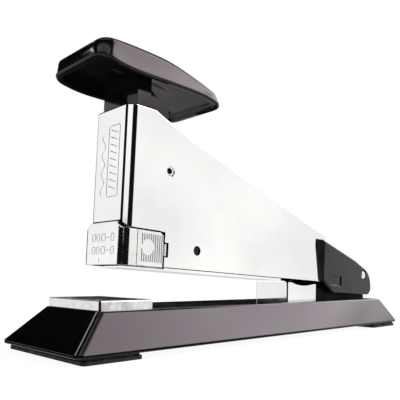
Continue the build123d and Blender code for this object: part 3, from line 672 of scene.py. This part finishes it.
# ---------------------------------------------------------------- floor and light
def build_floor():
    """A plain white floor."""
    mesh = bpy.data.meshes.new("floor")
    half = 6.0
    mesh.from_pydata([(-half, -half, 0), (half, -half, 0), (half, half, 0), (-half, half, 0)], [],
                     [(0, 1, 2, 3)])
    paper = bpy.data.materials.new("white_paper")
    paper.use_nodes = True
    shader = paper.node_tree.nodes["Principled BSDF"]
    shader.inputs["Base Color"].default_value = (0.12, 0.12, 0.12, 1)
    shader.inputs["Emission Color"].default_value = (1, 1, 1, 1)
    shader.inputs["Emission Strength"].default_value = 0.94
    shader.inputs["Roughness"].default_value = 0.9
    shader.inputs["Specular IOR Level"].default_value = 0.1
    mesh.materials.append(paper)
    floor = bpy.data.objects.new("floor", mesh)
    scene.collection.objects.link(floor)
    floor.visible_glossy = False


build_floor()

# Soft boxes round the object: centre and half width in azimuth, lowest and highest
# elevation, edge softness, all in degrees, then the brightness and its colour.
STUDIO = [
    # A broad box towards +X and +Y, and the pale surroundings below.
    (40, 36, 10, 44, 6, 0.85, (1.0, 1.0, 1.0)),
    (0, 180, -91, -11, 2, 0.62, (1.0, 0.96, 0.98)),
    (45, 50, -12, -1.5, 2, 0.66, (1.0, 0.98, 0.99)),
    # Bands high above, and a round one overhead.
    (215, 70, 50, 66, 3, 0.9, (1.0, 1.0, 1.0)),
    (15, 75, 56, 66, 4, 0.9, (1.0, 1.0, 1.0)),
    (0, 180, 81, 92, 2, 1.0, (1.0, 1.0, 1.0)),
    # Upright panels at the object's own height, with the dark gaps between them.
    (121, 13, -5.5, 23, 1, 1.0, (1.0, 1.0, 0.99)),
    (146, 14, -5.5, 1, 1, 0.95, (1.0, 1.0, 0.99)),
    (217, 5, 9.3, 30, 0.6, 1.0, (1.0, 1.0, 1.0)),
    (330, 27, -5.5, 22, 2, 1.0, (1.0, 1.0, 0.99)),
    # Two strong boxes on the -Y side, for the sloping sides of the base and the handle.
    (321, 18, 22, 53, 7, 4.2, (1.0, 0.93, 0.98)),
    (353, 14, 22, 41, 7, 3.2, (1.0, 0.93, 0.98)),
    # A narrow bright box for the handle's front.
    (104, 3, 38, 52, 1, 3.5, (1.0, 1.0, 1.0)),
]
DARK = 0.006


def build_world():
    """Reflections see the soft boxes and the dark between them; the camera sees plain white."""
    world = bpy.data.worlds.new("studio")
    scene.world = world
    world.use_nodes = True
    tree = world.node_tree
    tree.nodes.clear()
    direction = add_node(tree, "ShaderNodeTexCoord").outputs["Generated"]
    x, y, z = add_node(tree, "ShaderNodeSeparateXYZ", {0: direction}).outputs
    elevation = add_node(tree, "ShaderNodeMath", {0: z}, operation="ARCSINE").outputs[0]
    flat = add_node(tree, "ShaderNodeCombineXYZ", {0: x, 1: y}).outputs[0]
    flat = add_node(tree, "ShaderNodeVectorMath", {0: flat}, operation="NORMALIZE").outputs[0]
    cloud = mapped_range(tree, add_node(
        tree, "ShaderNodeTexNoise", {"Vector": direction, "Scale": 5.0, "Detail": 2.0},
    ).outputs[0], 0.9, 1.06)
    total = None
    for azimuth, half, low, high, soft, strength, color in STUDIO:
        a = math.radians(azimuth)
        along = add_node(
            tree, "ShaderNodeVectorMath", {0: flat, 1: (math.cos(a), math.sin(a), 0)},
            operation="DOT_PRODUCT",
        ).outputs["Value"]
        angle = add_node(tree, "ShaderNodeMath", {0: along}, operation="ARCCOSINE",
                         use_clamp=False).outputs[0]
        edges = [
            (angle, half + soft / 2, half - soft / 2),
            (elevation, low - soft / 2, low + soft / 2),
            (elevation, high + soft / 2, high - soft / 2),
        ]
        mask = None
        for value, start, end in edges:
            part = mapped_range(tree, value, 0, 1, math.radians(start), math.radians(end))
            mask = part if mask is None else add_node(
                tree, "ShaderNodeMath", {0: mask, 1: part}, operation="MULTIPLY").outputs[0]
        uneven = add_node(tree, "ShaderNodeMath", {0: mask, 1: cloud}, operation="MULTIPLY")
        lit = add_node(
            tree, "ShaderNodeVectorMath",
            {0: tuple(strength * c for c in color), "Scale": uneven.outputs[0]},
            operation="SCALE",
        ).outputs[0]
        total = lit if total is None else add_node(
            tree, "ShaderNodeVectorMath", {0: total, 1: lit}, operation="ADD").outputs[0]
    total = add_node(
        tree, "ShaderNodeVectorMath", {0: total, 1: (DARK, DARK, DARK)}, operation="ADD").outputs[0]
    soft_light = add_node(tree, "ShaderNodeBackground", {"Color": total, "Strength": 1.0})
    plain = add_node(tree, "ShaderNodeBackground", {"Color": (1, 1, 1, 1), "Strength": 1.0})
    seen = add_node(tree, "ShaderNodeLightPath").outputs["Is Camera Ray"]
    both = add_node(tree, "ShaderNodeMixShader",
                    {0: seen, 1: soft_light.outputs[0], 2: plain.outputs[0]})
    add_node(tree, "ShaderNodeOutputWorld", {"Surface": both.outputs[0]})


build_world()
scene.view_settings.view_transform = "Standard"
scene.view_settings.look = "None"


# ---------------------------------------------------------------- camera
def build_camera():
    """The photograph's viewpoint: low, in front of the left corner, level and nearly upright."""
    yaw, roll = math.radians(45.04), math.radians(0.79)
    forward = Vector((math.cos(yaw), math.sin(yaw), 0))
    level = Vector((math.sin(yaw), -math.cos(yaw), 0))
    up = Vector((0, 0, 1))
    right = level * math.cos(roll) + up * math.sin(roll)
    above = up * math.cos(roll) - level * math.sin(roll)
    data = bpy.data.cameras.new("camera")
    data.lens, data.sensor_width = 45.08, 36.0
    data.shift_y = 0.1923
    data.clip_start = 5 * MM
    camera = bpy.data.objects.new("camera", data)
    rotation = Matrix((right, above, -forward)).transposed()
    place = Vector((-172.18, -142.48, 25.06)) * MM
    camera.matrix_world = Matrix.Translation(place) @ rotation.to_4x4()
    scene.collection.objects.link(camera)
    scene.camera = camera


build_camera()
